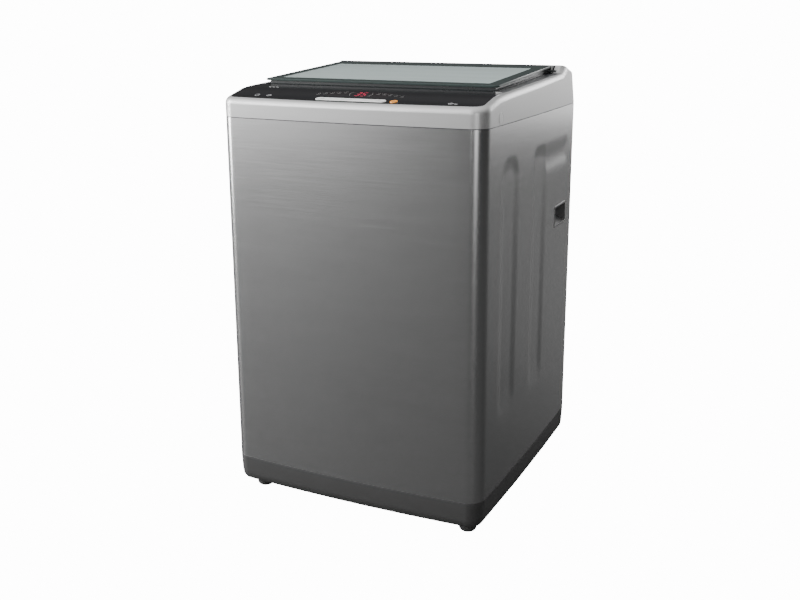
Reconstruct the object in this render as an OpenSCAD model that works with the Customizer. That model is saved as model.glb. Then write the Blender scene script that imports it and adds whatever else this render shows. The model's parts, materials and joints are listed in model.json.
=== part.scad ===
// Top load washing machine. Origin at the middle of its footprint on the floor, front toward -Y.

/* [Cabinet] */
// Width between the upright corner lines
body_w = 542; // [450:1:660]
// Depth between the upright corner lines
body_d = 559; // [464:1:680]
// How far the front bulges forward in the middle
front_bow = 10; // [4:0.5:14]
// How far each side bulges outward in the middle
side_bow = 4; // [2:0.5:6]
// Radius of the upright corners
corner_r = 28; // [20:1:34]
// Height of the sheet metal cabinet
cabinet_h = 700; // [583:1:840]
// Thickness of the cabinet sheet
sheet_t = 1; // [0.8:0.1:1.2]
// Depth of the pressed channels in the side
channel_depth = 5; // [3:0.5:7]
// Width of one pressed channel
channel_w = 94; // [70:1:110]

/* [Base and feet] */
// Height of the feet below the base
foot_h = 28; // [22:1:40]
// Radius of a foot
foot_r = 17.5; // [14:0.5:21]
// Height of the plastic base frame
base_h = 53; // [44:1:64]
// Wall of the base frame
base_wall = 4; // [3:0.5:5]
// Diameter of the threaded foot stem
stem_d = 8; // [6.5:0.1:10]

/* [Top frame and lid] */
// Height of the front band of the top frame, to the edge of the control panel
band_h = 36; // [30:1:43]
// Wall of the top frame
frame_wall = 3; // [2.5:0.1:3.6]
// Width of the rounded silver rim around the control panel
rim_w = 12; // [10:0.5:14.5]
// Slope of the lid toward the front
lid_slope = 3.2; // [2.5:0.1:4]
// Thickness of the closed lid
lid_t = 14.5; // [12:0.1:17]
// Thickness of the lid glass
glass_t = 4; // [3:0.1:5]
// Width of the opaque border at the sides of the lid
lid_border = 25; // [20:1:30]
// Radius of the wash opening in the top frame
well_r = 186; // [155:1:223]
// Diameter of the lid hinge pins
hinge_pin_d = 6; // [5:0.1:7]

/* [Controls] */
// Length of the row of five keys
key_row = 144; // [120:1:172]
// Width of the row of keys
key_w = 14.5; // [12:0.5:17.5]
// Diameter of the start key
start_d = 14; // [11.5:0.5:17]
// How far a key goes down
key_travel = 1.2; // [1:0.05:1.4]

/* [Tubs and drive] */
// Free space between the outer tub and the cabinet sheet
tub_gap = 27; // [22:1:33]
// Wall of the outer tub
tub_wall = 3; // [2.5:0.1:3.6]
// Free space between the wash basket and the outer tub
basket_gap = 18; // [15:0.5:21]
// Space between the edge of the pulsator and the basket wall
pulsator_gap = 57; // [47:1:68]
// Outer diameter of the spin shaft
spin_shaft_d = 26; // [22:0.5:31]
// Diameter of the wash shaft inside it
wash_shaft_d = 16; // [13.5:0.5:19]
// Height of the drive space between the base and the outer tub
drive_h = 169; // [141:1:203]
// Radius of the driven pulley
pulley_r = 86; // [72:1:90]
// Radius of the motor housing
motor_r = 60; // [50:1:68]
// Diameter of a suspension rod
rod_d = 6; // [5:0.1:7.2]

/* [Fits] */
// Radial clearance of a shaft or pin that turns
run_fit = 0.05; // [0.03:0.01:0.08]
// Gap around pieces that lie in an opening
gap = 0.3; // [0.25:0.05:0.4]

/* [Hidden] */
$fn = 96;
press_fit = 0.02;

// Levels, from the floor up
base_z = foot_h;
cab_z = base_z + base_h;
cab_top = cab_z + cabinet_h;
seam = 1.5;
top_z = cab_top + seam;
tub_z = cab_z + drive_h;
tub_top = cab_top - 39;
bracket_z = cab_top - 13;
bracket_t = 3;

// Plan outline: a rounded rectangle whose front and sides bulge a little
arc_seg = 8;
edge_seg = 12;
half_w = body_w / 2;
half_d = body_d / 2;
function arc(cx, cy, r, a0, a1, n) =
  [for (i = [0:n]) let (a = a0 + (a1 - a0) * i / n) [cx + r * cos(a), cy + r * sin(a)]];
function along(a, b, n) = [for (i = [1:n - 1]) a + (b - a) * i / n];
function side_out(y) = side_bow * max(0, 1 - pow(y / half_d, 2));
function front_out(x) = front_bow * max(0, 1 - pow(x / half_w, 2));
function bowed(p) = [p.x * (1 + side_out(p.y) / half_w),
                     p.y - front_out(p.x) * max(0, -p.y / half_d)];
function plan(inset) = let (w = half_w - inset, d = half_d - inset, r = max(corner_r - inset, 2),
    corners = [for (q = [[1, -1, -90], [1, 1, 0], [-1, 1, 90], [-1, -1, 180]])
      arc(q.x * (w - r), q.y * (d - r), r, q.z, q.z + 90, arc_seg)])
  [for (k = [0:3]) for (p = concat(corners[k], along(corners[k][arc_seg], corners[(k + 1) % 4][0],
    edge_seg))) bowed(p)];
function rrect(x0, y0, x1, y1, r, n = 6) = concat(
  arc(x1 - r, y0 + r, r, -90, 0, n), arc(x1 - r, y1 - r, r, 0, 90, n),
  arc(x0 + r, y1 - r, r, 90, 180, n), arc(x0 + r, y0 + r, r, 180, 270, n));
module slab(inset, z0, z1) translate([0, 0, z0]) linear_extrude(z1 - z0) polygon(plan(inset));
module box(lo, hi) translate(lo) cube(hi - lo);
module tube(r_out, r_in, z0, z1) translate([0, 0, z0]) difference() {
  cylinder(r = r_out, h = z1 - z0);
  translate([0, 0, -1]) cylinder(r = r_in, h = z1 - z0 + 2);
}
module mirrored() { children(); mirror([1, 0, 0]) children(); }
module at_corners(x, y) for (sx = [-1, 1], sy = [-1, 1]) translate([sx * x, sy * y, 0]) children();
// A solid along X, from its outline in Y and Z
module along_x(x0, x1) translate([x0, 0, 0]) rotate([90, 0, 90]) linear_extrude(x1 - x0) children();
// A cylinder along Y
module y_rod(r, y0, y1) translate([0, y0, 0]) rotate([-90, 0, 0]) cylinder(r = r, h = y1 - y0);

// Hinge of the lid, and the lid's own axes: origin on the hinge line, top surface sloping
lid_half = half_w - 23;
lid_front_y = -half_d + 124;
hinge_y = half_d - 107.5;
lid_nose = 13;
lid_mid_z = top_z + 73.1;
hinge_z = lid_mid_z + hinge_y * tan(lid_slope) - lid_nose;
lid_len = (hinge_y - lid_front_y) / cos(lid_slope);
module on_lid() translate([0, hinge_y, hinge_z]) rotate([lid_slope, 0, 0]) children();

// Top of the top frame along the depth: low band, an S curve behind the keys, the straight
// cheeks beside the lid, a short rise to the hinge cover and its long rounded back
s_start = -half_d + 15;
s_end = -half_d + 90;
cheek_mid = top_z + 59.7;
cheek_slope = 2.4;
cover_y = hinge_y + 16;
cover_top = hinge_z + lid_nose - 0.5;
back_h = 70;
back_round = 2.6;
function band_line(y) = top_z + band_h + (y + half_d) * 0.1;
function cheek_line(y) = cheek_mid + y * tan(cheek_slope);
function ease(t) = t <= 0 ? 0 : t >= 1 ? 1 : t * t * (3 - 2 * t);
function mix(a, b, t) = a + (b - a) * t;
function top_line(y) =
  y < cover_y - 25 ? mix(band_line(y), cheek_line(y), ease((y - s_start) / (s_end - s_start)))
  : y < cover_y ? mix(cheek_line(y), cover_top, ease((y - cover_y + 25) / 25))
  : cover_top - back_h + back_h * pow(max(0, 1 - pow((y - cover_y) / (half_d - cover_y), back_round)),
    1 / back_round);
line_y = concat([-half_d - front_bow - 5, s_start], along(s_start, s_end, 10), [s_end],
  [cover_y - 25], along(cover_y - 25, cover_y, 5), [cover_y],
  [for (a = [8:8:82]) cover_y + (half_d - cover_y) * sin(a)], [half_d]);
// The body under that line, lowered by drop, without the rounded rim
module under_line(drop, x = 400) along_x(-x, x) polygon(concat(
  [for (y = line_y) [y, top_line(y) - drop]],
  [[half_d + 5, top_line(half_d) - drop], [half_d + 5, top_z - 60],
   [-half_d - front_bow - 5, top_z - 60]]));
// The rounded rim that follows the plan outline
rim_seg = 6;
function rim_part(y) = min(1, max(0, (half_d - y) / 80));
function rim_ring(inset, drop, lift) = [for (p = plan(inset))
  let (y = min(max(p.y, -half_d), half_d)) [p.x, p.y, top_line(y) - rim_w * rim_part(y) * drop + lift]];
function flat_ring(inset, z) = [for (p = plan(inset)) [p.x, p.y, z]];
module rim_body(inset, low, bottom) {
  rings = concat([flat_ring(inset, bottom)],
    [for (i = [0:rim_seg]) let (a = 80 * i / rim_seg)
      rim_ring(inset + rim_w * (1 - cos(a)), 1 - sin(a), -low)],
    [rim_ring(inset + rim_w, 0, 2 - low), flat_ring(inset + rim_w, cover_top + 20)]);
  n = len(rings[0]);
  m = len(rings);
  polyhedron(points = [for (ring = rings) each ring],
    faces = concat([[for (i = [0:n - 1]) i]],
      [for (k = [0:m - 2], i = [0:n - 1]) let (j = (i + 1) % n)
        each [[k * n + i, (k + 1) * n + i, (k + 1) * n + j], [k * n + i, (k + 1) * n + j, k * n + j]]],
      [[for (i = [n - 1:-1:0]) (m - 1) * n + i]]));
}
module frame_body(inset, low, bottom) intersection() {
  rim_body(inset, low, bottom);
  under_line(low);
}

// Cabinet
channel_floor = half_w + side_bow - channel_depth;
channel_low = cab_z + 125;
channel_high = cab_top - 60;
channel_1_y = -half_d + body_d * 0.143;
channel_2_y = -half_d + body_d * 0.46;
channel_end_y = half_d - 58;
channel_r = 40;
handle_y = half_d - 110;
handle_z = cab_top - 228;
handle_w = 80;
handle_h = 46;
module channels(grow) {
  r = channel_r + grow;
  polygon(rrect(channel_1_y - grow, channel_low - grow, channel_1_y + channel_w + grow,
    channel_high + grow, r));
  polygon(rrect(channel_2_y - grow, channel_low - grow, channel_2_y + channel_w - 6 + grow,
    channel_high + grow, 25 + grow));
  polygon(rrect(channel_2_y - grow, channel_high - 68 - grow, channel_end_y + grow,
    channel_high + grow, 25 + grow));
}
back_flange = 30;
module cabinet() color("#75787b") difference() {
  slab(0, cab_z, cab_top);
  difference() {
    slab(sheet_t, cab_z - 1, cab_top + 1);
    mirrored() along_x(channel_floor - sheet_t, half_w + 10) channels(sheet_t);
  }
  mirrored() along_x(channel_floor, half_w + 10) channels(0);
  box([-half_w + back_flange, half_d - 5, cab_z - 1], [half_w - back_flange, half_d + 5, cab_top + 1]);
  mirrored() along_x(half_w - 10, half_w + 10) translate([handle_y, handle_z])
    square([handle_w, handle_h], center = true);
}

// Back panel with a raised field, the drain and cord openings and its screws
panel_half = half_w - 17;
panel_low = cab_z + 8;
panel_high = cab_top - 8;
drain_x = -150;
drain_z = cab_z + 19;
drain_r = 14;
gland_x = 190;
gland_z = cab_z + 60;
gland_r = 8;
screw_z = [for (i = [0:4]) mix(panel_low + 25, panel_high - 25, i / 4)];
field_side = 45;
field_low = cab_z + 100;
field_high = panel_high - 60;
field_t = 4;
module panel_field(inset, y) box([-panel_half + field_side + inset, y, field_low + inset],
  [panel_half - field_side - inset, half_d + field_t - inset, field_high - inset]);
module back_panel() color("#9a9da0") difference() {
  union() {
    box([-panel_half, half_d, panel_low], [panel_half, half_d + sheet_t, panel_high]);
    panel_field(0, half_d);
  }
  panel_field(sheet_t, half_d - 1);
  for (i = [0:5]) translate([0, 0, cab_z + 150 + i * 22])
    box([-60, half_d - 1, 0], [60, half_d + field_t + 2, 8]);
  translate([drain_x, 0, drain_z]) y_rod(drain_r + gap, half_d - 5, half_d + 5);
  translate([gland_x, 0, gland_z]) y_rod(gland_r, half_d - 5, half_d + 5);
  for (x = [-1, 1], z = screw_z) translate([x * (panel_half - 6), 0, z]) y_rod(2.5, half_d - 5, half_d + 5);
}
module back_screws() color("silver") for (x = [-1, 1], z = screw_z)
  translate([x * (panel_half - 6), 0, z]) difference() {
    y_rod(5, half_d + sheet_t, half_d + sheet_t + 2.5);
    for (a = [0, 90]) translate([0, half_d + sheet_t + 2, 0]) rotate([0, a, 0])
      cube([6, 2, 1.2], center = true);
  }
module cord_gland() color("#1c1c1c") translate([gland_x, 0, gland_z]) difference() {
  union() {
    y_rod(gland_r - press_fit, half_d - 6, half_d + sheet_t);
    y_rod(gland_r + 4, half_d + sheet_t, half_d + 8);
  }
  y_rod(gland_r / 2, half_d - 7, half_d + 9);
}

// Base frame: a tapered skirt with a ledge for the cabinet and a column over each foot
foot_x = half_w - 40;
foot_y = half_d - 46.5;
column_r = 24;
web_z = cab_z - 15;
stem_top = web_z - 4;
module base_frame() color("#3c3e40") difference() {
  union() {
    difference() {
      hull() {
        slab(8, base_z, base_z + 1);
        slab(3.5, base_z + 6, base_z + 7);
        slab(1.5, base_z + 17, base_z + 18);
        slab(0, cab_z - 6, cab_z);
      }
      slab(8 + base_wall, base_z - 1, cab_z - 6);
      slab(12, cab_z - 7, cab_z + 1);
    }
    difference() {
      slab(6, web_z, web_z + 4);
      slab(62, web_z - 1, web_z + 5);
    }
    difference() {
      slab(sheet_t + gap, cab_z - 6, cab_z + 8);
      slab(sheet_t + gap + 2.5, cab_z - 7, cab_z + 9);
      box([-half_w, half_d - 8, cab_z], [half_w, half_d + 5, cab_z + 9]);
    }
    at_corners(foot_x, foot_y) translate([0, 0, base_z]) cylinder(r = column_r, h = web_z + 2 - base_z);
  }
  at_corners(foot_x, foot_y) translate([0, 0, base_z - 1])
    cylinder(r = stem_d / 2 + run_fit, h = stem_top - base_z + 1);
}
module foot_pad(x, y, top) translate([x, y, 0]) rotate_extrude() polygon(concat(
  [[0, 0]], arc(foot_r - 9, 9, 9, -90, 0, 8), [[foot_r, base_z - top], [stem_d / 2 + run_fit, base_z - top],
  [stem_d / 2 + run_fit, 10], [0, 10]]));
module foot_pad_left() color("#333537") foot_pad(-foot_x, -foot_y, gap);
module foot_pad_right() color("#333537") foot_pad(foot_x, -foot_y, gap);
module foot_stem(x) color("silver") translate([x, -foot_y, 10.1]) cylinder(d = stem_d, h = stem_top - 14);
module foot_stem_left() foot_stem(-foot_x);
module foot_stem_right() foot_stem(foot_x);
module rear_feet() color("#333537") for (x = [-1, 1]) {
  foot_pad(x * foot_x, foot_y, 0);
  translate([x * foot_x, foot_y, 10]) cylinder(d = stem_d, h = stem_top - 14);
}

// Top frame
tray_gap = 1.5;
tray_half = lid_half + tray_gap;
tray_front = lid_front_y - tray_gap;
tray_back = hinge_y + lid_nose + tray_gap;
fascia_back = tray_front;
well_front = -half_d + 139.5;
well_back = half_d - 141.5;
well_low = cab_top - 6;
window_inset = rim_w + 7;
function tray_plan(grow) = rrect(-tray_half - grow, tray_front - grow, tray_half + grow,
  tray_back + 60, lid_corner + tray_gap + grow);
module tray_floor(drop) on_lid() box([-400, -500, -150], [400, 200, lid_nose - lid_t - 1 - drop]);
module trough(r) translate([0, hinge_y, hinge_z]) rotate([0, 90, 0])
  cylinder(r = r, h = 2 * (tray_half + r - lid_nose - tray_gap), center = true);
module fascia_area(inset, back) intersection() {
  slab(inset, top_z - 50, cover_top + 30);
  box([-half_w, -half_d - 20, 0], [half_w, back, cover_top + 40]);
}
module well(grow, z0, z1) intersection() {
  translate([0, 0, z0]) cylinder(r = well_r + grow, h = z1 - z0);
  box([-half_w, well_front - grow, z0 - 1], [half_w, well_back + grow, z1 + 1]);
}
cap_y = -half_d + 74;
cap_z = top_z + 12;
cap_r = 11;
drawer_x0 = -110;
drawer_x1 = -10;
drawer_z0 = top_z + 9;
drawer_z1 = top_z + 43;
inlet_x = 150;
inlet_z = top_z + 23;
inlet_r = 13.2;
inlet_end = half_d + front_bow;
module top_frame() color("#b9bbbd") difference() {
  union() {
    difference() {
      frame_body(0, 0, top_z);
      frame_body(frame_wall, frame_wall, top_z - 1);
    }
    difference() {
      slab(sheet_t + gap, bracket_z + bracket_t, top_z + 4);
      slab(sheet_t + gap + 2.5, bracket_z, top_z + 5);
    }
    difference() {
      intersection() {
        frame_body(0.8, 1, top_z + 1);
        union() {
          difference() {
            translate([0, 0, top_z]) linear_extrude(120) polygon(tray_plan(frame_wall));
            tray_floor(frame_wall);
            box([-half_w, cover_y + 4, 0], [half_w, half_d, cover_top + 10]);
          }
          difference() {
            fascia_area(rim_w - 3, fascia_back + 6);
            under_line(2 * frame_wall + gap);
            fascia_area(window_inset, fascia_back - 8);
          }
          mirrored() translate([tray_half, hinge_y, hinge_z]) rotate([0, 90, 0]) cylinder(r = 9, h = 9);
          trough(lid_nose + tray_gap + 2.5);
        }
      }
    }
    difference() {
      well(2.5, well_low, hinge_z);
      on_lid() box([-400, -500, lid_nose - lid_t - 2], [400, 200, 200]);
    }
  }
  difference() {
    translate([0, 0, top_z]) linear_extrude(120) polygon(tray_plan(0));
    tray_floor(0);
    box([-half_w, hinge_y, 0], [half_w, half_d, hinge_z]);
    box([-half_w, cover_y, 0], [half_w, half_d + 100, cover_top + 60]);
  }
  trough(lid_nose + tray_gap);
  difference() {
    fascia_area(rim_w, fascia_back);
    under_line(frame_wall + gap);
  }
  well(0, well_low - 1, cover_top);
  box([drawer_x0 - 1, well_back - 3, drawer_z0 - 1], [drawer_x1 + 1, well_back + 3, drawer_z1 + 1]);
  mirrored() translate([tray_half - 1, hinge_y, hinge_z]) rotate([0, 90, 0])
    cylinder(d = hinge_pin_d + 2 * press_fit, h = 7);
  translate([inlet_x, 0, inlet_z]) y_rod(inlet_r + 1, half_d - 12, half_d + 5);
  mirrored() translate([half_w - 10, cap_y, cap_z]) rotate([0, 90, 0]) cylinder(r = cap_r + 0.05, h = 20);
}
module screw_caps() color("#b0b2b4") mirrored() translate([half_w - 3, cap_y, cap_z])
  rotate([0, 90, 0]) cylinder(r = cap_r, h = 3.2 + side_out(cap_y));

// Control panel
key_y = -half_d + 22.5;
key_len = key_row / 5;
key_lip = 1;
start_x = key_row / 2 + 16;
display_y = -half_d + 56;
display_half = 62;
module skin(top, low) intersection() {
  difference() {
    under_line(-top);
    under_line(-low);
  }
  children();
}
module key_outline(grow) linear_extrude(1000) polygon(rrect(-key_row / 2 - grow, key_y - key_w / 2 - grow,
  key_row / 2 + grow, key_y + key_w / 2 + grow, key_w / 2 + grow - 0.01, 12));
module display_outline(grow) linear_extrude(1000) polygon(rrect(-display_half - grow,
  display_y - 13 - grow, display_half + grow, display_y + 13 + grow, 3));
module control_fascia() color("#17181a") difference() {
  skin(0, -frame_wall) fascia_area(rim_w + gap, fascia_back - gap);
  key_outline(gap);
  display_outline(0.15);
  translate([start_x, key_y, 0]) cylinder(d = start_d + 2 * gap, h = 1000);
}
module display_window() color("#232528") skin(0, -frame_wall) display_outline(0);
board_z = top_z + 18;
board_t = 1.6;
switch_h = 5;
box_half = key_row / 2 + 50;
box_wall = 2;
box_front = key_y - max(key_w, start_d) / 2 - key_lip - box_wall - gap;
box_back = -half_d + 112;
stem_gap = key_travel + gap;
module control_board() color("#2c6b3f") {
  box([-box_half + 4, box_front + 4, board_z], [box_half - 4, box_back - 4, board_z + board_t]);
  for (x = [for (i = [-2:2]) i * key_len, start_x]) translate([x, key_y, board_z + board_t - 0.01])
    cylinder(r = 3, h = switch_h);
}
module control_box() color("#e4e4e0") difference() {
  intersection() {
    box([-box_half, box_front, board_z - 14], [box_half, box_back, cover_top]);
    under_line(frame_wall);
  }
  difference() {
    box([-box_half + box_wall, box_front + box_wall, board_z - 12],
      [box_half - box_wall, box_back - box_wall, cover_top + 1]);
    at_corners(box_half - 6, (box_back - box_front) / 2 - 6)
      translate([0, (box_back + box_front) / 2, board_z - 13]) cylinder(r = 3, h = 13);
  }
}
digits_half = 11;
module display_digits() color("#d8232a") box([-11, display_y - digits_half, board_z + board_t],
  [21, display_y + digits_half, top_line(display_y - digits_half) - frame_wall - 1]);
module key(i) color("#d6d8d9") {
  x = (i - 3) * key_len;
  skin(0.8, -frame_wall - 0.1) intersection() {
    key_outline(0);
    box([x - key_len / 2 + 0.2, key_y - 30, 0], [x + key_len / 2 - 0.2, key_y + 30, 1000]);
  }
  skin(-frame_wall - 0.05, -frame_wall - 1.2)
    box([x - key_len / 2 + 2, key_y - key_w / 2 - key_lip, 0],
      [x + key_len / 2 - 2, key_y + key_w / 2 + key_lip, 1000]);
  translate([x, key_y, 0]) key_shank();
}
// The shank under a key, from just above its switch up into the cap
module key_shank() difference() {
  translate([0, 0, board_z + board_t + switch_h + stem_gap]) cylinder(r = 2, h = 30);
  translate([0, -key_y, 0]) difference() {
    box([-400, -400, 0], [400, 400, 1000]);
    under_line(frame_wall);
  }
}
module button_1() key(1);
module button_2() key(2);
module button_3() key(3);
module button_4() key(4);
module button_5() key(5);
module start_button() color("#e8862a") {
  skin(1, -frame_wall - 0.1) translate([start_x, key_y, 0]) cylinder(d = start_d, h = 1000);
  skin(-frame_wall - 0.05, -frame_wall - 1.2) translate([start_x, key_y, 0])
    cylinder(d = start_d + 2 * key_lip, h = 1000);
  translate([start_x, key_y, 0]) key_shank();
}

// Detergent drawer, its housing and the water inlet
housing_back = half_d - 22;
module detergent_housing() color("#e4e4e0") difference() {
  union() {
    box([drawer_x0 - 4, well_back + 2.6, drawer_z0 - 3], [drawer_x1 + 4, housing_back, drawer_z1 + 4]);
    translate([drawer_x1 + 3, housing_back - 16, inlet_z]) rotate([0, 90, 0])
      cylinder(r = 8, h = inlet_x - 18 - drawer_x1 - 3);
  }
  box([drawer_x0 - 1, well_back, drawer_z0 - 0.5], [drawer_x1 + 1, housing_back - 3, drawer_z1 + 1.5]);
  translate([drawer_x1, housing_back - 16, inlet_z]) rotate([0, 90, 0]) cylinder(r = 6, h = 200);
}
drawer_back = housing_back - 6;
drawer_front = well_back - 3;
module detergent_drawer() color("#5c8fc4") difference() {
  union() {
    box([drawer_x0 - 0.5, drawer_front, drawer_z0], [drawer_x1 + 0.5, drawer_front + 3, drawer_z1]);
    box([drawer_x0, drawer_front + 2, drawer_z0], [drawer_x1, drawer_back, drawer_z1 - 6]);
  }
  box([drawer_x0 + 2, drawer_front + 5, drawer_z0 + 2], [mix(drawer_x0, drawer_x1, 0.55), drawer_back - 2,
    drawer_z1]);
  box([mix(drawer_x0, drawer_x1, 0.55) + 2, drawer_front + 5, drawer_z0 + 2], [drawer_x1 - 2,
    drawer_back - 2, drawer_z1]);
  box([(drawer_x0 + drawer_x1) / 2 - 20, drawer_front - 1, drawer_z0 + 6],
    [(drawer_x0 + drawer_x1) / 2 + 20, drawer_front + 1.5, drawer_z0 + 14]);
}
module inlet_valve() color("#e8e8e4") difference() {
  union() {
    box([inlet_x - 18, half_d - 56, inlet_z - 14], [inlet_x + 18, half_d - 16, inlet_z + 14]);
    translate([inlet_x, 0, inlet_z]) {
      y_rod(inlet_r - 1.2, half_d - 17, half_d + 2);
      y_rod(inlet_r, half_d + 1, inlet_end);
    }
    translate([inlet_x, half_d - 40, inlet_z - 22]) cylinder(r = 9, h = 10);
  }
  translate([inlet_x, 0, inlet_z]) y_rod(9, half_d - 12, inlet_end + 1);
}

// Water level switch on the front left bracket, and its hose to the tub
switch_x = -half_w + 28;
switch_y = -half_d + 99.5;
nipple_top = tub_z + 42;
hose_top = bracket_z - 4;
module pressure_switch() color("#2a2c2e") translate([switch_x, switch_y, 0]) {
  translate([0, 0, bracket_z + bracket_t]) cylinder(r = 20, h = 19);
  translate([0, 0, bracket_z - 4]) cylinder(r = 3, h = 8);
}
module pressure_hose() color("#26282a") translate([switch_x, switch_y, 0])
  tube(4.5, 2, nipple_top, hose_top);

// Grab handle cups
cup_depth = 32;
module side_handle() {
  frame_x = half_w + side_bow - 0.3;
  difference() {
    union() {
      along_x(frame_x - 0.9 - channel_depth / 2, frame_x) translate([handle_y, handle_z])
        square([handle_w - 2 * gap, handle_h - 2 * gap], center = true);
      along_x(half_w - cup_depth - 2, frame_x - 1) translate([handle_y, handle_z])
        square([handle_w - 2 * gap, handle_h - 2 * gap], center = true);
    }
    translate([0, handle_y + handle_w / 2 - 4, handle_z]) rotate([90, 0, 0]) linear_extrude(handle_w - 8)
      polygon([[half_w - cup_depth, handle_h / 2 - 4], [half_w + 10, handle_h / 2 - 4],
        [half_w + 10, -handle_h / 2 + 4], [half_w - 1, -handle_h / 2 + 4], [half_w - cup_depth, 0]]);
  }
}
module side_handle_right() color("#8d9092") side_handle();
module side_handle_left() color("#8d9092") mirror([1, 0, 0]) side_handle();

// Suspension: a rod hangs in each upper corner and carries the tub on a spring
tub_r = min(half_w, half_d) - sheet_t - tub_gap;
rod_x = half_w - 43;
rod_y = half_d - 43.5;
ear_low = tub_z + 35;
ear_h = 24;
cap_low = tub_z - 92;
cap_t = 6;
spring_r = 14;
spring_wire = 1.6;
bracket_leg = 165;
module corner_brackets() color("#a4a7aa") for (sx = [-1, 1], sy = [-1, 1]) corner_plate(sx, sy);
module corner_plate(sx, sy) difference() {
  intersection() {
    slab(sheet_t + 0.2, bracket_z, bracket_z + bracket_t);
    translate([sx * half_w, sy * half_d, bracket_z - 1]) rotate([0, 0, 45])
      cube([bracket_leg * sqrt(2), bracket_leg * sqrt(2), 12], center = true);
  }
  translate([sx * rod_x, sy * rod_y, bracket_z - 1]) cylinder(d = rod_d + 2 * press_fit, h = 10);
  translate([switch_x, switch_y, bracket_z - 1]) cylinder(r = 3.5, h = 10);
}
module suspension_rods() color("silver") at_corners(rod_x, rod_y) {
  translate([0, 0, cap_low - 8]) cylinder(d = rod_d, h = bracket_z + bracket_t + 1 - cap_low + 8);
  translate([0, 0, bracket_z + bracket_t]) cylinder(r = 7, h = 5);
}
module rod_caps() color("#2a2c2e") at_corners(rod_x, rod_y)
  tube(spring_r + spring_wire + 1, rod_d / 2 + press_fit, cap_low, cap_low + cap_t);
coils = 8;
coil_seg = 12;
wire_seg = 5;
spring_low = cap_low + cap_t + spring_wire;
spring_high = ear_low - spring_wire;
module spring() {
  count = coils * coil_seg;
  pts = [for (i = [0:count]) let (a = 360 * i / coil_seg, z = mix(spring_low, spring_high, i / count))
    for (k = [0:wire_seg - 1]) let (b = 360 * k / wire_seg + 90, r = spring_r + spring_wire * cos(b))
      [r * cos(a), r * sin(a), z + spring_wire * sin(b)]];
  polyhedron(points = pts, faces = concat([[for (k = [0:wire_seg - 1]) k]],
    [for (i = [0:count - 1], k = [0:wire_seg - 1]) let (a = i * wire_seg + k,
        b = i * wire_seg + (k + 1) % wire_seg)
      each [[a, a + wire_seg, b + wire_seg], [a, b + wire_seg, b]]],
    [[for (k = [wire_seg - 1:-1:0]) count * wire_seg + k]]));
}
module suspension_springs() color("#8f9295") at_corners(rod_x, rod_y) spring();

// Outer tub
tub_floor = 4;
seal_r = spin_shaft_d / 2 + 8;
ear_reach = norm([rod_x, rod_y]);
nipple_angle = atan2(switch_y, switch_x);
nipple_reach = norm([switch_x, switch_y]);
module outer_tub() color("#d9dad6") difference() {
  union() {
    translate([0, 0, tub_z]) cylinder(r = tub_r, h = tub_top - tub_z);
    for (sx = [-1, 1], sy = [-1, 1]) rotate([0, 0, atan2(sy * rod_y, sx * rod_x)]) {
      translate([tub_r - 5, -15, ear_low]) cube([ear_reach - tub_r + 5, 30, ear_h]);
      translate([ear_reach, 0, ear_low]) cylinder(r = 19, h = ear_h);
    }
    rotate([0, 0, nipple_angle]) {
      translate([tub_r - 5, 0, tub_z + 25]) rotate([0, 90, 0])
        cylinder(r = 6, h = nipple_reach - tub_r + 5);
      translate([nipple_reach, 0, tub_z + 16]) cylinder(r = 7, h = 18);
      translate([nipple_reach, 0, tub_z + 30]) cylinder(r = 3, h = nipple_top - tub_z - 30);
    }
  }
  translate([0, 0, tub_z + tub_floor]) cylinder(r = tub_r - tub_wall, h = tub_top - tub_z);
  translate([0, 0, tub_z - 1]) cylinder(r = seal_r, h = 10);
  at_corners(rod_x, rod_y) translate([0, 0, ear_low - 1]) cylinder(d = rod_d + 6, h = ear_h + 2);
  translate([valve_x, valve_y, tub_z - 1]) cylinder(r = 12, h = 10);
}
basket_r = tub_r - tub_wall - basket_gap;
pulsator_r = basket_r - pulsator_gap;
ring_in = basket_r - 41;
module tub_ring() color("#d9dad6") {
  tube(tub_r + 2.5, ring_in + 7, tub_top, tub_top + 3);
  tube(tub_r + 2.5, tub_r + 0.3, tub_top - 8, tub_top + 1);
  tube(ring_in + 9.5, ring_in + 7, tub_top + 2, tub_top + 14);
}
module shaft_seal() color("#1c1c1c") tube(seal_r, spin_shaft_d / 2 + run_fit, tub_z - 1, tub_z + 9);

// Drive under the tub
bracket_low = tub_z - 4;
gear_r = 60;
gear_low = cab_z + 65;
motor_y = pulley_r + motor_r + 19;
motor_low = cab_z + 49;
motor_shaft_r = 6;
motor_shaft_top = bracket_low - 28;
pulley_z = cab_z + 31;
pulley_h = 16;
small_r = 30;
groove = 8;
belt_h = 8;
module drive_bracket() color("#7e8184") difference() {
  union() {
    translate([0, 0, bracket_low]) cylinder(r = 122, h = 4);
    box([-55, 0, bracket_low], [55, motor_y + 40, tub_z]);
  }
  translate([0, 0, bracket_low - 1]) cylinder(r = seal_r + 3, h = 6);
  translate([valve_x, valve_y, bracket_low - 1]) cylinder(r = 30, h = 6);
}
module gearcase() color("#a9acaf") difference() {
  union() {
    translate([0, 0, gear_low]) cylinder(r = gear_r, h = bracket_low - gear_low);
    translate([0, 0, bracket_low - 6]) cylinder(r = gear_r + 16, h = 6);
    translate([0, 0, bracket_low - 1]) cylinder(r = seal_r - 1, h = 4);
  }
  translate([0, 0, bracket_low - 30]) cylinder(d = spin_shaft_d + 2 * run_fit, h = 60);
  translate([0, 0, gear_low + 44]) cylinder(d = wash_shaft_d + 1, h = 100);
  translate([0, 0, gear_low - 1]) cylinder(d = wash_shaft_d + 2 * run_fit, h = 40);
}
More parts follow.
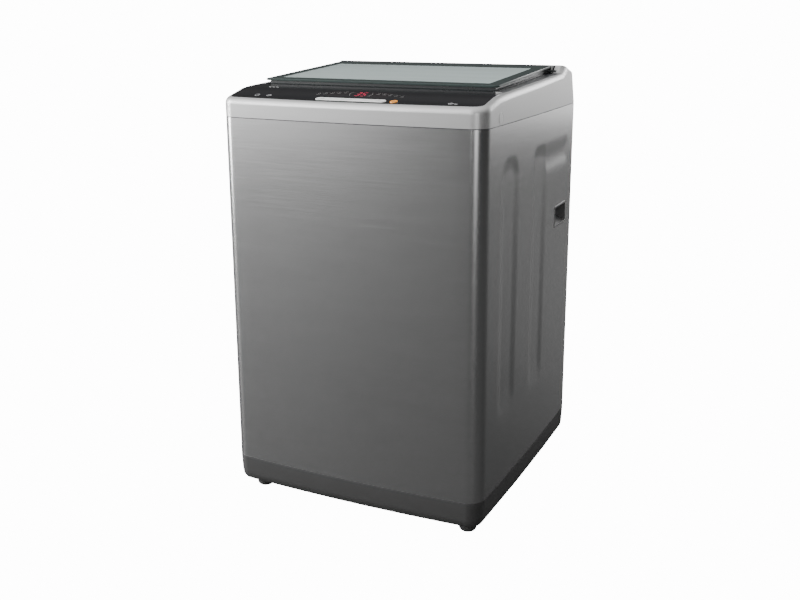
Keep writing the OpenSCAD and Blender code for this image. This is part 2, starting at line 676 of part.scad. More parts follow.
module motor_housing() color("#5a5d60") translate([0, motor_y, 0]) difference() {
  union() {
    translate([0, 0, motor_low]) cylinder(r = motor_r, h = bracket_low - motor_low - 8);
    for (a = [45:90:315]) rotate([0, 0, a]) translate([motor_r - 16, 0, bracket_low - 9])
      cylinder(r = 7, h = 9);
  }
  translate([0, 0, motor_low - 1])
    cylinder(r = motor_shaft_r + run_fit, h = motor_shaft_top - motor_low + 2);
}
module motor_shaft() color("silver") translate([0, motor_y, pulley_z - 3])
  cylinder(r = motor_shaft_r, h = motor_shaft_top - pulley_z + 3);
module grooved(r, bore) rotate_extrude() polygon([[bore, pulley_z], [r, pulley_z], [r, pulley_z + 2],
  [r - groove, pulley_z + 3.5], [r - groove, pulley_z + pulley_h - 3.5], [r, pulley_z + pulley_h - 2],
  [r, pulley_z + pulley_h], [bore, pulley_z + pulley_h]]);
module motor_pulley() color("#8f9295") translate([0, motor_y, 0])
  grooved(small_r, motor_shaft_r + press_fit);
module driven_pulley() color("#a9acaf") {
  difference() {
    grooved(pulley_r, wash_shaft_d / 2 - 5);
    for (a = [0:60:300]) rotate([0, 0, a]) translate([pulley_r * 0.53, 0, pulley_z - 1])
      cylinder(r = 16, h = pulley_h + 2);
  }
  translate([0, 0, pulley_z]) cylinder(d = wash_shaft_d, h = gear_low + 36 - pulley_z);
}
function belt_path(a, b) = let (t = acos((a - b) / motor_y))
  concat(arc(0, 0, a, 180 - (90 - t), 360 + (90 - t), 40), arc(0, motor_y, b, 90 - t, 180 - (90 - t), 20));
module belt_area(lift) polygon(belt_path(pulley_r - groove + lift, small_r - groove + lift));
module drive_belt() color("#1c1c1c") translate([0, 0, pulley_z + (pulley_h - belt_h) / 2])
  linear_extrude(belt_h) difference() {
    belt_area(7);
    belt_area(gap);
  }

// Drain
valve_x = drain_x;
valve_y = 60;
valve_low = tub_z - 54;
spigot_low = tub_z - 70;
elbow_top = drain_z + 15;
module drain_valve() color("#e4e4e0") translate([valve_x, valve_y, 0]) difference() {
  union() {
    translate([0, 0, valve_low]) cylinder(r = 24, h = tub_z - valve_low);
    translate([0, 0, spigot_low]) cylinder(r = 13, h = valve_low - spigot_low + 1);
    translate([0, 0, tub_z - 1]) cylinder(r = 11.9, h = 4);
    translate([20, 0, (valve_low + tub_z) / 2]) rotate([0, 90, 0]) cylinder(r = 15, h = 34);
  }
  translate([0, 0, spigot_low - 1]) cylinder(r = 10, h = 80);
}
bellows = 7;
module drain_bellows() color("#33363a") translate([valve_x, valve_y, 0]) rotate_extrude() {
  pitch = (spigot_low - elbow_top) / bellows;
  polygon(concat([for (i = [0:bellows - 1]) for (q = [[13, 0.02], [18, 0.35], [18, 0.65]])
      [q.x, elbow_top + (i + q.y) * pitch]], [[13, spigot_low]],
    [[10, spigot_low]], [for (i = [bellows - 1:-1:0]) for (q = [[15, 0.62], [15, 0.38], [10, 0.01]])
      [q.x, elbow_top + (i + q.y) * pitch]]));
}
module drain_outlet() color("#33363a") difference() {
  union() {
    translate([valve_x, valve_y, drain_z]) cylinder(r = 13, h = elbow_top - drain_z);
    translate([valve_x, valve_y, drain_z]) sphere(r = drain_r);
    translate([valve_x, 0, drain_z]) {
      y_rod(drain_r, valve_y, half_d + 3);
      y_rod(drain_r + 1.5, half_d + 2, inlet_end);
    }
  }
  translate([valve_x, valve_y, drain_z]) cylinder(r = 10, h = elbow_top);
  translate([valve_x, 0, drain_z]) y_rod(10, valve_y, inlet_end + 1);
}

// Wash basket and pulsator
base_low = tub_z + 34;
basket_low = base_low + 16;
ring_low = tub_top - 52;
hub_low = tub_z + 12;
module wash_basket() color("#c9cccf") tube(basket_r, basket_r - 1, basket_low, ring_low);
module basket_base() color("#d9dad6") difference() {
  translate([0, 0, base_low]) cylinder(r = basket_r, h = basket_low - base_low);
  translate([0, 0, base_low + 6]) cylinder(r1 = pulsator_r + 15, r2 = pulsator_r + 35, h = 20);
  translate([0, 0, base_low - 1]) cylinder(d = spin_shaft_d + 2 * press_fit, h = 20);
  for (a = [0:30:330], r = [pulsator_r * 0.55, pulsator_r * 0.85]) rotate([0, 0, a])
    translate([r, 0, base_low - 1]) cylinder(r = 4, h = 10);
}
module balance_ring() color("#e6e7e4") tube(basket_r + 4, ring_in, ring_low, tub_top - 8);
module basket_flange() color("#a9acaf") difference() {
  union() {
    translate([0, 0, hub_low]) cylinder(r = 30, h = base_low - hub_low);
    for (a = [90, 210, 330]) rotate([0, 0, a]) translate([0, -22, base_low - 12])
      cube([basket_r - 45, 44, 12]);
    translate([0, 0, base_low - 12]) cylinder(r = 105, h = 12);
  }
  translate([0, 0, hub_low - 1]) cylinder(d = spin_shaft_d + 2 * press_fit, h = 100);
}
module spin_shaft() color("silver") tube(spin_shaft_d / 2, wash_shaft_d / 2 + run_fit, bracket_low - 28,
  base_low + 5);
shaft_top = base_low + 38;
module wash_shaft() color("silver") difference() {
  translate([0, 0, gear_low + 48]) cylinder(d = wash_shaft_d, h = shaft_top - gear_low - 48);
  translate([0, 0, shaft_top - 20]) cylinder(r = 3.02, h = 30);
}
pulsator_low = base_low + 9;
module pulsator() color("#e9eae6") difference() {
  union() {
    rotate_extrude() polygon([[0, pulsator_low], [pulsator_r, pulsator_low], [pulsator_r, pulsator_low + 3],
      [pulsator_r * 0.9, pulsator_low + 10], [pulsator_r * 0.5, pulsator_low + 13],
      [46, pulsator_low + 22], [28, shaft_top + 6], [0, shaft_top + 6]]);
    for (a = [0:60:300]) rotate([0, 0, a]) translate([30, 0, pulsator_low + 5]) rotate([0, 90, 0])
      cylinder(r = 14, h = pulsator_r * 0.86 - 30);
  }
  translate([0, 0, pulsator_low - 1]) cylinder(d = wash_shaft_d + 2 * press_fit, h = 100);
  translate([0, 0, shaft_top]) cylinder(r = 12, h = 100);
  translate([0, 0, pulsator_low - 50]) cylinder(r = pulsator_r + 5, h = 50);
}
module pulsator_screw() color("silver") {
  translate([0, 0, shaft_top]) cylinder(r = 11, h = 3);
  translate([0, 0, shaft_top - 18]) cylinder(r = 3, h = 19);
  translate([0, 0, shaft_top + 2.9]) cylinder(r = 6, h = 3, $fn = 6);
}
module lint_filter() color("#5c8fc4") translate([0, 0, (basket_low + ring_low) / 2]) difference() {
  translate([-45, -basket_r + 8, -90]) cube([90, 22, 180]);
  translate([-41, -basket_r + 12, -86]) cube([82, 30, 160]);
}

// Lid
lid_inset = 8;
lid_corner = 9;
module lid_outline(inset, back) polygon(rrect(-lid_half + inset, -lid_len + inset, lid_half - inset, back,
  lid_corner - inset));
lid_back = -14;
win_front = -lid_len + 34;
win_back = -58;
bumper_y = -lid_len + 21;
bumper_pin_r = 3;
module at_bumpers() for (x = [-1, 1]) translate([x * (lid_half - 40), bumper_y, lid_nose - lid_t])
  children();
// The frame lies under the glass, set back from its edge; its rear strip carries the hinge
module lid_frame() color("#26292b") on_lid() difference() {
  union() {
    translate([0, 0, lid_nose - lid_t]) linear_extrude(lid_t - glass_t)
      lid_outline(lid_inset, lid_back + 1);
    box([-lid_half, lid_back, lid_nose - lid_t], [lid_half, 0, lid_nose]);
    intersection() {
      rotate([0, 90, 0]) cylinder(r = lid_nose, h = 2 * lid_half, center = true);
      box([-400, -1, lid_nose - lid_t], [400, 50, 50]);
    }
  }
  translate([0, 0, -50]) linear_extrude(100) polygon(rrect(-lid_half + lid_border, win_front,
    lid_half - lid_border, win_back, 8));
  mirrored() translate([lid_half - 13, 0, 0]) rotate([0, 90, 0])
    cylinder(d = hinge_pin_d + 2 * run_fit, h = 20);
  at_bumpers() translate([0, 0, -1]) cylinder(r = bumper_pin_r + press_fit, h = 6.5);
}
module lid_glass() color("#9fb0ae") on_lid() translate([0, 0, lid_nose - glass_t]) linear_extrude(glass_t)
  lid_outline(0.5, lid_back - gap);
module lid_bumpers() color("#1c1c1c") on_lid() at_bumpers() {
  translate([0, 0, -0.7]) cylinder(r = 7, h = 0.7);
  translate([0, 0, -0.1]) cylinder(r = bumper_pin_r, h = 5);
}
module lid_hinge_pins() color("silver") translate([0, hinge_y, hinge_z]) mirrored()
  translate([lid_half - 12.5, 0, 0]) rotate([0, 90, 0])
  cylinder(d = hinge_pin_d, h = 12.5 + tray_gap + 5.5);

cabinet();
back_panel();
back_screws();
base_frame();
rear_feet();
foot_pad_left();
foot_pad_right();
foot_stem_left();
foot_stem_right();
top_frame();
screw_caps();
control_fascia();
display_window();
display_digits();
control_board();
control_box();
button_1();
button_2();
button_3();
button_4();
button_5();
start_button();
detergent_housing();
detergent_drawer();
inlet_valve();
pressure_switch();
pressure_hose();
side_handle_left();
side_handle_right();
corner_brackets();
suspension_rods();
rod_caps();
suspension_springs();
lid_hinge_pins();
lid_frame();
lid_glass();
lid_bumpers();
outer_tub();
tub_ring();
shaft_seal();
drive_bracket();
gearcase();
motor_housing();
motor_shaft();
motor_pulley();
driven_pulley();
drive_belt();
drain_valve();
drain_bellows();
drain_outlet();
wash_basket();
basket_base();
balance_ring();
basket_flange();
spin_shaft();
lint_filter();
pulsator();
pulsator_screw();
wash_shaft();
cord_gland();
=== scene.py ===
"""Top load washing machine: materials, refined shells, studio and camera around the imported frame."""
import json
import math
import bmesh
import bpy
from mathutils import Matrix, Vector
from mathutils.bvhtree import BVHTree


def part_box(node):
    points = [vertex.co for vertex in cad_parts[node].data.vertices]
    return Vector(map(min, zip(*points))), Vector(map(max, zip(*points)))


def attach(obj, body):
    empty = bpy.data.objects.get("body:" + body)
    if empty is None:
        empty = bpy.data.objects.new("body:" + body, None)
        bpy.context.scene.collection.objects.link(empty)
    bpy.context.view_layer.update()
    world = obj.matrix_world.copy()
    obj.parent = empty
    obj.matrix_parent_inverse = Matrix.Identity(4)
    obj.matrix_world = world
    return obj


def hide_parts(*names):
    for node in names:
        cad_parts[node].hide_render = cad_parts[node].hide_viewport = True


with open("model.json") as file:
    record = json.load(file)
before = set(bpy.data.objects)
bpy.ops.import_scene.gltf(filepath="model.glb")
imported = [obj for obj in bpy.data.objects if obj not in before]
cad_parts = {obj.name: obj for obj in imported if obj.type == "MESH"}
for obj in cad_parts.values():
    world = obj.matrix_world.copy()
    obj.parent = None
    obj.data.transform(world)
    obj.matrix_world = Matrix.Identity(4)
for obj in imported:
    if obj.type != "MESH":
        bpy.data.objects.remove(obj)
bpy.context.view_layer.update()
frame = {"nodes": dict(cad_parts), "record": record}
nodes = frame["nodes"]
record = frame["record"]
slot_of = {row["node"]: row["material_slot"] for row in record["subparts"]}
body_of = {node: body for body, members in record["behaviour"]["bodies"].items() for node in members}
colour_of = {row["slot"]: row["base_color"] for row in record["materials"]}
MM = 0.001


# ---------------------------------------------------------------- sizes from the frame
cab_lo, cab_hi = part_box("cabinet")
top_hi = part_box("top_frame")[1]
SIDE_BOW = 4 * MM
FRONT_BOW = 10 * MM
CORNER_R = 28 * MM
SHEET = 1 * MM
SEAM = 1.5 * MM
HALF_W = cab_hi.x - SIDE_BOW
HALF_D = cab_hi.y
TOP_Z = cab_hi.z + SEAM
WELL_R = 186 * MM
LID_SLOPE = math.radians(3.2)


# ---------------------------------------------------------------- camera, light and floor
CAMERA_PLACE = (0.8781, -1.8819, 0.9902)
CAMERA_TURN = (25.615, 14.282, -0.244)
LENS = 45.29
FRAME_SHIFT = -0.05
FAR = 50
FLOOR_SIZE = 14.0
FLOOR_CELLS = 8
SKY_BASE = 0.06
# Each panel of the sky: the way to its middle, where it starts and is full as a cosine, and strength
SKY_PANELS = [
    ((-0.80, -0.47, 0.375), 0.62, 0.97, 4.5),
    ((0.42, 0.90, 0.14), 0.80, 0.99, 2.4),
    ((0.0, -0.1, 1.0), 0.35, 0.95, 1.5),
    ((0.56, -0.83, 0.06), 0.965, 0.995, 6.0),
]
BACKDROP = 14.0
# Each light: name, place, where it points, its two sides and its power
LIGHTS = [
    ("key", (-2.6, -3.2, 2.4), (0, 0, 0.8), (1.6, 1.6), 60),
    ("front_strip", (0.35, -3.4, 1.5), (0.25, -0.25, 0.6), (0.22, 1.8), 12),
    ("left_strip", (-3.2, -1.2, 1.4), (-0.25, -0.25, 0.6), (0.3, 2.4), 170),
    ("rear", (1.2, 3.6, 1.7), (0.27, 0.0, 0.6), (1.4, 1.6), 45),
]


def add_camera():
    data = bpy.data.cameras.new("camera")
    data.sensor_width = 36
    data.lens = LENS
    data.shift_y = FRAME_SHIFT
    camera = bpy.data.objects.new("camera", data)
    bpy.context.scene.collection.objects.link(camera)
    azimuth, elevation, roll = map(math.radians, CAMERA_TURN)
    turn = (Matrix.Rotation(azimuth, 4, "Z") @ Matrix.Rotation(math.pi / 2 - elevation, 4, "X")
            @ Matrix.Rotation(roll, 4, "Z"))
    camera.matrix_world = Matrix.Translation(CAMERA_PLACE) @ turn
    data.clip_end = FAR
    bpy.context.scene.camera = camera


def add_light(name, place, target, size, power):
    data = bpy.data.lights.new(name, "AREA")
    data.shape = "RECTANGLE"
    data.size, data.size_y = size
    data.energy = power
    light = bpy.data.objects.new(name, data)
    light.location = place
    light.rotation_euler = (Vector(target) - Vector(place)).to_track_quat("-Z", "Y").to_euler()
    bpy.context.scene.collection.objects.link(light)


def add_studio():
    """A white backdrop to look at, and a softer sky of a few panels that lights the object."""
    world = bpy.data.worlds.new("studio")
    world.use_nodes = True
    tree = world.node_tree
    sky = tree.nodes["Background"]
    coords = tree.nodes.new("ShaderNodeTexCoord")
    total = None
    for axis, start, full, strength in SKY_PANELS:
        toward = tree.nodes.new("ShaderNodeVectorMath")
        toward.operation = "DOT_PRODUCT"
        tree.links.new(coords.outputs["Generated"], toward.inputs[0])
        toward.inputs[1].default_value = Vector(axis).normalized()
        panel = tree.nodes.new("ShaderNodeMapRange")
        panel.interpolation_type = "SMOOTHSTEP"
        for socket, value in zip(("From Min", "From Max", "To Min", "To Max"), (start, full, 0, strength)):
            panel.inputs[socket].default_value = value
        tree.links.new(toward.outputs["Value"], panel.inputs["Value"])
        add = tree.nodes.new("ShaderNodeMath")
        tree.links.new(panel.outputs["Result"], add.inputs[0])
        if total is None:
            add.inputs[1].default_value = SKY_BASE
        else:
            tree.links.new(total, add.inputs[1])
        total = add.outputs["Value"]
    tree.links.new(total, sky.inputs["Strength"])
    backdrop = tree.nodes.new("ShaderNodeBackground")
    backdrop.inputs["Strength"].default_value = BACKDROP
    sky.inputs["Color"].default_value = backdrop.inputs["Color"].default_value = (1, 1, 1, 1)
    blend_by_sight(tree, sky.outputs["Background"], backdrop.outputs["Background"],
                   tree.nodes["World Output"].inputs["Surface"])
    bpy.context.scene.world = world
    for row in LIGHTS:
        add_light(*row)
    floor = mesh_object("floor", *grid_plane(FLOOR_SIZE, FLOOR_CELLS), [plain_floor()])


def blend_by_sight(tree, indirect, seen, output):
    """One shader for what the camera sees directly, the other for the light that reaches the object."""
    path = tree.nodes.new("ShaderNodeLightPath")
    mix = tree.nodes.new("ShaderNodeMixShader")
    tree.links.new(path.outputs["Is Camera Ray"], mix.inputs["Fac"])
    tree.links.new(indirect, mix.inputs[1])
    tree.links.new(seen, mix.inputs[2])
    tree.links.new(mix.outputs["Shader"], output)


def grid_plane(size, cells):
    points = [((i / cells - 0.5) * size, (j / cells - 0.5) * size, 0.0)
              for j in range(cells + 1) for i in range(cells + 1)]
    step = cells + 1
    faces = [(j * step + i, j * step + i + 1, (j + 1) * step + i + 1, (j + 1) * step + i)
             for j in range(cells) for i in range(cells)]
    return points, faces


# ---------------------------------------------------------------- mesh helpers
def mesh_object(name, points, faces, materials, smooth=None):
    mesh = bpy.data.meshes.new(name)
    mesh.from_pydata([tuple(p) for p in points], [], faces)
    mesh.validate()
    for material in materials:
        mesh.materials.append(material)
    obj = bpy.data.objects.new(name, mesh)
    bpy.context.scene.collection.objects.link(obj)
    if smooth is not None:
        shade(mesh, smooth)
    return obj


def shade(mesh, degrees):
    mesh.polygons.foreach_set("use_smooth", [True] * len(mesh.polygons))
    mesh.set_sharp_from_angle(angle=math.radians(degrees))


def stands_for(obj, node):
    """The piece takes the place and body of the CAD node named, whose own shape is hidden."""
    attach(obj, body_of[node])
    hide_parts(node)


WELD = 2e-6
FLAT_ANGLE = math.radians(0.6)
EDGE_ANGLE = math.radians(38)
SMOOTH_BELOW = 35


def refined(node, bevel):
    """A copy of a CAD node's shape with its seams welded, its edges rounded and its shading smooth."""
    bm = bmesh.new()
    bm.from_mesh(nodes[node].data)
    bmesh.ops.remove_doubles(bm, verts=bm.verts, dist=WELD)
    bmesh.ops.dissolve_degenerate(bm, dist=WELD / 2, edges=bm.edges)
    bmesh.ops.dissolve_limit(bm, angle_limit=FLAT_ANGLE, verts=bm.verts, edges=bm.edges)
    if node == "top_frame":
        for vert in bm.verts:
            vert.co.y = rounded_back(vert.co.y, vert.co.z)
    sharp = [e for e in bm.edges if len(e.link_faces) == 2 and e.calc_face_angle(0) > EDGE_ANGLE]
    bmesh.ops.bevel(bm, geom=sharp, offset=bevel, segments=2, profile=0.5, affect="EDGES",
                    clamp_overlap=True, offset_type="OFFSET")
    mesh = bpy.data.meshes.new(node + "_body")
    bm.to_mesh(mesh)
    bm.free()
    mesh.materials.clear()
    mesh.materials.append(material_for(node))
    shade(mesh, SMOOTH_BELOW)
    obj = bpy.data.objects.new(node + "_body", mesh)
    bpy.context.scene.collection.objects.link(obj)
    flatten(obj)
    stands_for(obj, node)


# The top frame's back shoulder: where it starts, and its height and power in the CAD and here
BACK_Y = top_hi.y - 91.5 * MM
SQUARE_BACK = (70 * MM, 2.6)
ROUND_BACK = (56 * MM, 1.4)


def rounded_back(y, z):
    """The back of the top frame rolls over more softly than a square shoulder does."""
    def reach(high, power):
        rise = min(0.999, max(0.0, (z - top_hi.z + high) / high))
        return (1 - rise ** power) ** (1 / power)
    if y < BACK_Y:
        return y
    return BACK_Y + (y - BACK_Y) * min(1.0, reach(*ROUND_BACK) / reach(*SQUARE_BACK))


def flatten(obj):
    """Large flat faces keep their own normals, so that only the rounded edges look round."""
    weighted = obj.modifiers.new("weighted", "WEIGHTED_NORMAL")
    weighted.keep_sharp = True
    weighted.weight = 90


# ---------------------------------------------------------------- materials
class Shader:
    """A material under construction: a Principled shader and short ways to add nodes to it."""

    def __init__(self, name, colour, rough, metal=0.0, spec=0.5, coat=0.0, coat_rough=0.03, alpha=1.0):
        self.material = bpy.data.materials.new(name)
        self.material.use_nodes = True
        self.tree = self.material.node_tree
        self.bsdf = self.tree.nodes["Principled BSDF"]
        self.set("Base Color", (*colour[:3], 1))
        self.set("Roughness", rough)
        self.set("Metallic", metal)
        self.set("Specular IOR Level", spec)
        self.set("Coat Weight", coat)
        self.set("Coat Roughness", coat_rough)
        self.set("Alpha", alpha)
        self.colour = colour

    def set(self, socket, value):
        self.bsdf.inputs[socket].default_value = value

    def node(self, kind, **inputs):
        made = self.tree.nodes.new(kind)
        for key, value in inputs.items():
            made.inputs[key.replace("_", " ")].default_value = value
        return made

    def link(self, a, b):
        self.tree.links.new(a, b)

    def place(self, stretch=(1, 1, 1)):
        coords = self.tree.nodes.new("ShaderNodeTexCoord")
        mapping = self.tree.nodes.new("ShaderNodeMapping")
        mapping.inputs["Scale"].default_value = stretch
        self.link(coords.outputs["Object"], mapping.inputs["Vector"])
        return mapping.outputs["Vector"]

    def noise(self, scale, detail=3.0, stretch=(1, 1, 1), rough=0.55):
        made = self.node("ShaderNodeTexNoise", Scale=scale, Detail=detail, Roughness=rough)
        self.link(self.place(stretch), made.inputs["Vector"])
        return made.outputs["Fac"]

    def spread(self, fac, low, high):
        made = self.node("ShaderNodeMapRange")
        made.inputs["To Min"].default_value = low
        made.inputs["To Max"].default_value = high
        self.link(fac, made.inputs["Value"])
        return made.outputs["Result"]

    def vary_colour(self, fac, amount):
        mix = self.tree.nodes.new("ShaderNodeMix")
        mix.data_type = "RGBA"
        dark = [c * (1 - amount) for c in self.colour[:3]]
        light = [min(1, c * (1 + amount)) for c in self.colour[:3]]
        mix.inputs["A"].default_value = (*dark, 1)
        mix.inputs["B"].default_value = (*light, 1)
        self.link(fac, mix.inputs["Factor"])
        self.link(mix.outputs["Result"], self.bsdf.inputs["Base Color"])

    def vary_rough(self, fac, low, high):
        self.link(self.spread(fac, low, high), self.bsdf.inputs["Roughness"])

    def bump(self, fac, strength, distance):
        made = self.node("ShaderNodeBump", Strength=strength, Distance=distance)
        self.link(fac, made.inputs["Height"])
        self.link(made.outputs["Normal"], self.bsdf.inputs["Normal"])


def plain_floor():
    s = Shader("studio_floor", (0.05, 0.05, 0.05), 0.6, spec=0.1)
    s.vary_colour(s.noise(2.0), 0.02)
    glow = s.tree.nodes.new("ShaderNodeEmission")
    glow.inputs["Strength"].default_value = BACKDROP
    blend_by_sight(s.tree, s.bsdf.outputs["BSDF"], glow.outputs["Emission"],
                   s.tree.nodes["Material Output"].inputs["Surface"])
    return s.material


def brushed_paint(name, colour):
    """Metallic paint over finely brushed sheet, with a level grain in the gloss and the tone."""
    s = Shader(name, colour, 0.25, metal=1.0, coat=0.12, coat_rough=0.2)
    grain = s.noise(60, 4, (0.15, 0.15, 9), 0.6)
    s.vary_colour(grain, 0.06)
    s.vary_rough(grain, 0.21, 0.29)
    s.bump(grain, 0.05, 0.0002)
    return s.material


def brushed_plastic(name, colour):
    """Silver paint with a fine level grain."""
    s = Shader(name, colour, 0.38, metal=0.6, coat=0.1, coat_rough=0.25)
    grain = s.noise(50, 4, (0.25, 0.6, 16), 0.6)
    s.vary_colour(grain, 0.05)
    s.vary_rough(grain, 0.34, 0.42)
    s.bump(grain, 0.03, 0.0002)
    return s.material


def moulded(name, colour, rough, grain, depth, metal=0.0):
    """A moulded or cast surface with a fine grain."""
    s = Shader(name, colour, rough, metal=metal, coat_rough=0.2)
    s.vary_colour(s.noise(14, 3), 0.05)
    fine = s.noise(grain, 2)
    s.vary_rough(s.noise(35, 3), rough * 0.88, min(1, rough * 1.12))
    s.bump(fine, depth, 0.00015)
    return s.material


def glossy(name, colour, rough, spec=0.5, coat=0.6):
    """Smooth plastic, lacquer or print."""
    s = Shader(name, colour, rough, spec=spec, coat=coat, coat_rough=0.02)
    s.vary_rough(s.noise(40, 4), rough * 0.7, rough * 1.5)
    s.vary_colour(s.noise(9, 2), 0.05)
    return s.material


def steel(name, colour, rough, stretch=(1, 1, 14)):
    """Bare metal with a grain drawn out along one way."""
    s = Shader(name, colour, rough, metal=1.0)
    grain = s.noise(120, 4, stretch)
    s.vary_colour(grain, 0.06)
    s.vary_rough(grain, rough * 0.75, rough * 1.3)
    s.bump(grain, 0.08, 0.0001)
    return s.material


def rubber(name, colour):
    s = Shader(name, colour, 0.62, spec=0.35)
    s.vary_colour(s.noise(30, 3), 0.12)
    s.bump(s.noise(600, 3), 0.25, 0.0002)
    return s.material


def tinted_glass(name, colour):
    s = Shader(name, colour, 0.06, spec=0.25, alpha=0.82)
    s.vary_rough(s.noise(22, 4), 0.04, 0.09)
    s.vary_colour(s.noise(7, 4, (0.35, 3.0, 1)), 0.16)
    return s.material


def luminous(name, colour, strength):
    """A faintly lit lens."""
    s = Shader(name, colour, 0.3)
    s.set("Emission Color", (*colour[:3], 1))
    s.set("Emission Strength", strength)
    s.vary_rough(s.noise(300, 2), 0.25, 0.4)
    return s.material


def make_material(slot):
    c = colour_of[slot]
    makers = {
        "cabinet_paint": lambda: brushed_paint(slot, (0.42, 0.42, 0.42)),
        "zinc_sheet": lambda: steel(slot, c, 0.42, (1, 1, 1)),
        "base_plastic": lambda: moulded(slot, (0.027, 0.027, 0.027), 0.55, 700, 0.2),
        "silver_plastic": lambda: brushed_plastic(slot, (0.40, 0.40, 0.40)),
        "black_gloss": lambda: glossy(slot, (0.012, 0.012, 0.013), 0.16, 0.12, 0.0),
        "smoked_window": lambda: glossy(slot, (0.016, 0.014, 0.015), 0.12, 0.12, 0.0),
        "led_red": lambda: glossy(slot, (0.35, 0.02, 0.02), 0.2),
        "key_silver": lambda: glossy(slot, (0.84, 0.84, 0.83), 0.25),
        "key_orange": lambda: glossy(slot, (0.95, 0.36, 0.04), 0.25),
        "drawer_blue": lambda: glossy(slot, c, 0.2),
        "lid_plastic": lambda: glossy(slot, c, 0.22),
        "lid_glass": lambda: tinted_glass(slot, (0.50, 0.58, 0.57)),
        "handle_plastic": lambda: moulded(slot, (0.085, 0.085, 0.086), 0.45, 800, 0.1),
        "rubber_black": lambda: rubber(slot, (0.034, 0.034, 0.034)),
        "steel": lambda: steel(slot, c, 0.25),
        "stainless": lambda: steel(slot, c, 0.22, (1, 1, 0.15)),
        "cast_aluminium": lambda: moulded(slot, c, 0.5, 300, 0.4, metal=1.0),
        "motor_steel": lambda: moulded(slot, c, 0.45, 300, 0.2, metal=0.6),
    }
    maker = makers.get(slot, lambda: moulded(slot, c, 0.48, 800, 0.1))
    return maker()


_materials = {}


def material_slot(slot):
    if slot not in _materials:
        _materials[slot] = make_material(slot)
    return _materials[slot]


def material_for(node):
    return material_slot(slot_of[node])


# ---------------------------------------------------------------- top frame
TRAY_LIP = TOP_Z + 71.5 * MM
TRAY_DEPTH = 18 * MM
TRAY_SIDE = 1.6 * MM
TRAY_FRONT = 2.6 * MM
TRAY_REAR = 3.5 * MM


def paint_frame_shade():
    """The tray under the lid and the lip inside the cabinet take the dark plastic slot as painted shade: the
    lip stands for the seam's shadow line, the tray for the shade beneath the lid.
    """
    mesh = bpy.data.objects["top_frame_body"].data
    mesh.materials.append(material_slot("dark_plastic"))
    lid_lo, lid_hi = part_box("lid_frame")
    for polygon in mesh.polygons:
        c = polygon.center
        depth = TRAY_LIP + c.y * math.tan(LID_SLOPE) - c.z
        on_floor = polygon.normal.z > 0.9 and depth < TRAY_DEPTH
        in_plan = (abs(c.x) < lid_hi.x + TRAY_SIDE
                   and lid_lo.y - TRAY_FRONT < c.y < lid_hi.y + TRAY_REAR)
        in_tray = in_plan and depth > 0 and (on_floor or math.hypot(c.x, c.y) > WELL_R - 1 * MM)
        # Faces of the lip below the frame's edge and of the tray get the dark slot: painted shade.
        if c.z < TOP_Z - 0.05 * MM or in_tray:
            polygon.material_index = 1


# ---------------------------------------------------------------- cabinet sheet
def side_out(y):
    return SIDE_BOW * max(0.0, 1 - (y / HALF_D) ** 2)


def front_out(x):
    return FRONT_BOW * max(0.0, 1 - (x / HALF_W) ** 2)


def bowed(x, y):
    return x * (1 + side_out(y) / HALF_W), y - front_out(x) * max(0.0, -y / HALF_D)


def smooth_step(t):
    t = min(1.0, max(0.0, t))
    return t * t * (3 - 2 * t)


def inside_rect(u, v, lo_u, lo_v, hi_u, hi_v, radius):
    """How far a point lies inside a rounded rectangle; negative outside it."""
    du = abs(u - (lo_u + hi_u) / 2) - (hi_u - lo_u) / 2 + radius
    dv = abs(v - (lo_v + hi_v) / 2) - (hi_v - lo_v) / 2 + radius
    return -(math.hypot(max(du, 0), max(dv, 0)) + min(max(du, dv), 0) - radius)


# Pressings of the side sheet as rounded rectangles: low y, low z, high y, high z, corner radius
CHANNELS = [(-200 * MM, 205 * MM, -102 * MM, 722 * MM, 42 * MM),
            (-25 * MM, 205 * MM, 68 * MM, 722 * MM, 30 * MM)]
RECESS = (-25 * MM, 652 * MM, 222 * MM, 722 * MM, 26 * MM)
SIDE_DEPTH = 3.0 * MM
RECESS_SHARE = 0.45
SLOPE_W = 27 * MM
FADE_LOW = (195 * MM, 275 * MM)


def pressed(y, z):
    """Depth of the pressing in the side sheet at a place on it."""
    fade = smooth_step((z - FADE_LOW[0]) / (FADE_LOW[1] - FADE_LOW[0]))
    depth = max(smooth_step(inside_rect(y, z, *c) / SLOPE_W) for c in CHANNELS) * fade
    recess = RECESS_SHARE * smooth_step(inside_rect(y, z, *RECESS) / (SLOPE_W * 1.25))
    return SIDE_DEPTH * max(depth, recess)


def steps(stops):
    """Values from the first stop to the last: each stop is (value, spacing up to the next one)."""
    values = []
    for (a, gap), (b, _) in zip(stops, stops[1:]):
        count = max(1, round((b - a) / gap))
        values += [a + (b - a) * i / count for i in range(count)]
    return values + [stops[-1][0]]


BACK_LAP = 30 * MM
FRONT_STEPS = 16


def cabinet_path():
    """Points of the sheet's outline seen from above, from one back edge to the other."""
    hole_lo, hole_hi = handle_rect()[0], handle_rect()[2]
    corner_y = HALF_D - CORNER_R
    side = steps([(-corner_y * 1000, 10), (-204, 3.2), (-98, 12), (-29, 3.2), (hole_lo * 1000, 4),
                  (hole_hi * 1000, 3.5), (225, 10), (corner_y * 1000, 1)])
    right = [bowed(HALF_W, y * MM) for y in side]
    corner = [bowed(HALF_W - CORNER_R + CORNER_R * math.cos(a), -corner_y + CORNER_R * math.sin(a))
              for a in [math.radians(-90 + 90 * i / 14) for i in range(14)]]
    rear = [bowed(HALF_W - CORNER_R + CORNER_R * math.cos(a), corner_y + CORNER_R * math.sin(a))
            for a in [math.radians(90 * i / 12) for i in range(1, 13)]]
    half = corner + right + rear + [(HALF_W - BACK_LAP, HALF_D)]
    front_half = HALF_W - CORNER_R
    front = [bowed(front_half * (2 * i / FRONT_STEPS - 1), -HALF_D) for i in range(1, FRONT_STEPS)]
    mirrored = [(-x, y) for x, y in reversed(half)]
    return mirrored + front + half


HANDLE_GAP = 0.2 * MM


